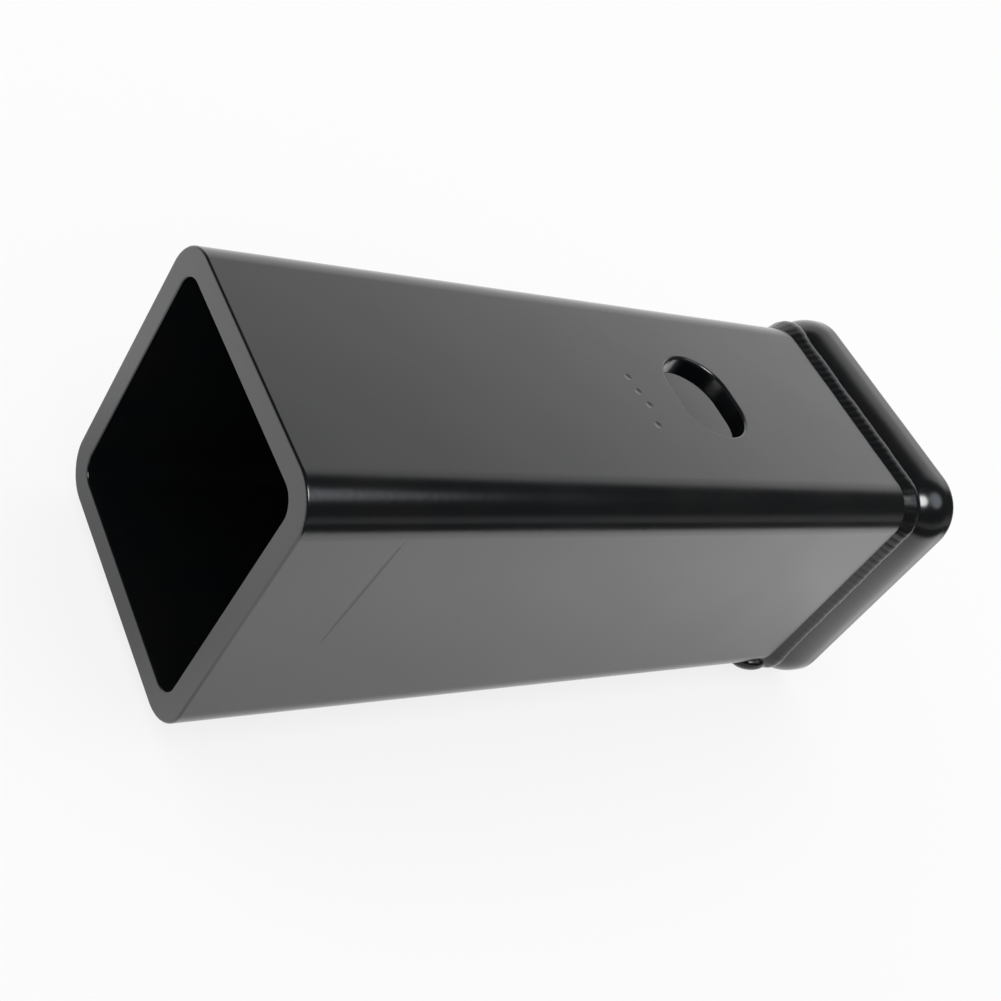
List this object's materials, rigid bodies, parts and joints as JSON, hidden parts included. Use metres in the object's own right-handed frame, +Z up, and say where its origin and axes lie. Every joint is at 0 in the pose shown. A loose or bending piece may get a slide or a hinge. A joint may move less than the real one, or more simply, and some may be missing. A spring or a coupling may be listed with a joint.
{
  "type": "hitch reducer sleeve",
  "caption": "Square steel tube sleeve with a welded stop collar round one end and a slot for a hitch pin through two walls. Reduces a large receiver socket to a smaller one.",
  "frame": {"origin": "on the ground plane under the middle of the sleeve's length and width, with the sleeve lying on one of its slotted walls", "axes": "+X along the tube's axis from the plain end to the collar; +Z up, through the pin slots; +Y across"},
  "size_m": [0.175, 0.0696, 0.0697],
  "materials": {
    "tube_coat": "smooth black powder coat over square steel tube, semi-gloss",
    "collar_coat": "smooth black powder coat over bent steel bar, semi-gloss",
    "weld_coat": "black powder coat over a fine rippled weld bead, semi-gloss"
  },
  "bodies": {
    "root": {"sleeve_tube": "tube_coat", "stop_collar": "collar_coat", "collar_weld": "weld_coat"}
  },
  "joints": []
}
